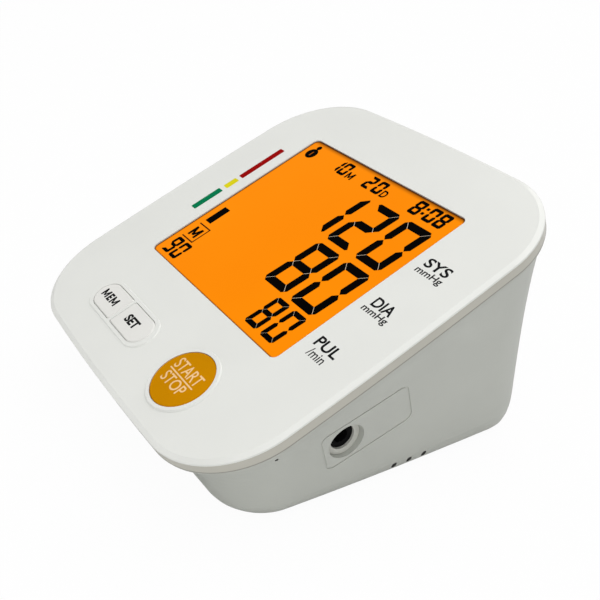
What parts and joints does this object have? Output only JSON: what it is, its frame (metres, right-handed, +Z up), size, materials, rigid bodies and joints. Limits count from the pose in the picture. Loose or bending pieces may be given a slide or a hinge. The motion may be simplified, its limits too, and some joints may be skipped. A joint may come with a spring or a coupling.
{
  "type": "blood pressure monitor",
  "caption": "Desk blood pressure monitor: wedge-shaped case with a sloping face, large display, keys, a round start button, an air socket in its side wall and a battery bay underneath.",
  "frame": {"origin": "on the table, under the middle of the monitor's bounding box", "axes": "+X to the reader's right, +Y away from the reader, +Z up"},
  "size_m": [0.131, 0.1238, 0.0772],
  "materials": {
    "cover_white": "glossy moulded plastic",
    "band_grey": "satin moulded plastic",
    "case_grey": "fine matt moulded plastic",
    "window_clear": "clear moulded window",
    "display_orange": "lit orange display",
    "light_white": "light guide",
    "frame_white": "moulded plastic",
    "board_green": "lacquered board",
    "screw_steel": "plated steel",
    "motor_steel": "drawn steel can",
    "chip_black": "moulded resin",
    "sensor_pale": "moulded resin",
    "plunger_brown": "moulded plastic",
    "key_white": "glossy moulded plastic",
    "start_amber": "glossy amber plastic",
    "socket_grey": "moulded plastic",
    "seal_black": "soft lining",
    "hose_rubber": "soft hose",
    "sleeve_rubber": "soft rubber",
    "coil_copper": "wound copper wire",
    "cell_jacket": "printed jacket, left plain"
  },
  "bodies": {
    "housing": {"top_cover": "cover_white", "trim_band": "band_grey", "bottom_shell": "case_grey", "display_window": "window_clear", "display_glass": "display_orange", "backlight_plate": "light_white", "display_frame": "frame_white", "pump_head": "frame_white", "air_manifold": "frame_white", "main_board": "board_green", "board_screws": "screw_steel", "case_screws": "screw_steel", "contact_plates": "screw_steel", "leaf_contacts": "screw_steel", "pump_motor": "motor_steel", "valve_yoke": "motor_steel", "controller_chip": "chip_black", "buzzer": "chip_black", "mem_switch": "chip_black", "set_switch": "chip_black", "start_switch": "chip_black", "pressure_sensor": "sensor_pale", "air_socket": "socket_grey", "socket_seal": "seal_black", "pump_tube": "hose_rubber", "valve_tube": "hose_rubber", "sensor_tube": "hose_rubber", "socket_tube": "hose_rubber", "pump_sleeve": "sleeve_rubber", "rubber_feet": "sleeve_rubber", "valve_coil": "coil_copper", "aa_cell_1": "cell_jacket", "aa_cell_2": "cell_jacket", "aa_cell_3": "cell_jacket", "aa_cell_4": "cell_jacket"},
    "mem_key": {"mem_key": "key_white", "mem_plunger": "plunger_brown"},
    "set_key": {"set_key": "key_white", "set_plunger": "plunger_brown"},
    "start_button": {"start_button": "start_amber", "start_plunger": "plunger_brown"},
    "pump_rotor": {"pump_rotor": "motor_steel"},
    "valve_plunger": {"valve_plunger": "motor_steel"},
    "battery_door": {"battery_door": "case_grey"}
  },
  "joints": [
    {"name": "mem_key_press", "type": "slide", "parent": "housing", "child": "mem_key", "axis": [0, 0.4099, -0.9121], "range_m": [0, 0.0007], "stiffness_N_per_m": 800},
    {"name": "set_key_press", "type": "slide", "parent": "housing", "child": "set_key", "axis": [0, 0.4099, -0.9121], "range_m": [0, 0.0007], "stiffness_N_per_m": 800},
    {"name": "start_button_press", "type": "slide", "parent": "housing", "child": "start_button", "axis": [0, 0.4099, -0.9121], "range_m": [0, 0.0007], "stiffness_N_per_m": 800},
    {"name": "pump_spin", "type": "hinge", "parent": "housing", "child": "pump_rotor", "pos_m": [0, 0.02608, 0.0336], "axis": [1, 0, 0], "continuous": true},
    {"name": "valve_stroke", "type": "slide", "parent": "housing", "child": "valve_plunger", "axis": [-1, 0, 0], "range_m": [0, 0.0008], "stiffness_N_per_m": 500},
    {"name": "door_swing", "type": "hinge", "parent": "housing", "child": "battery_door", "pos_m": [0, -0.01122, 0.0008], "axis": [-1, 0, 0], "range_deg": [0, 50]}
  ]
}
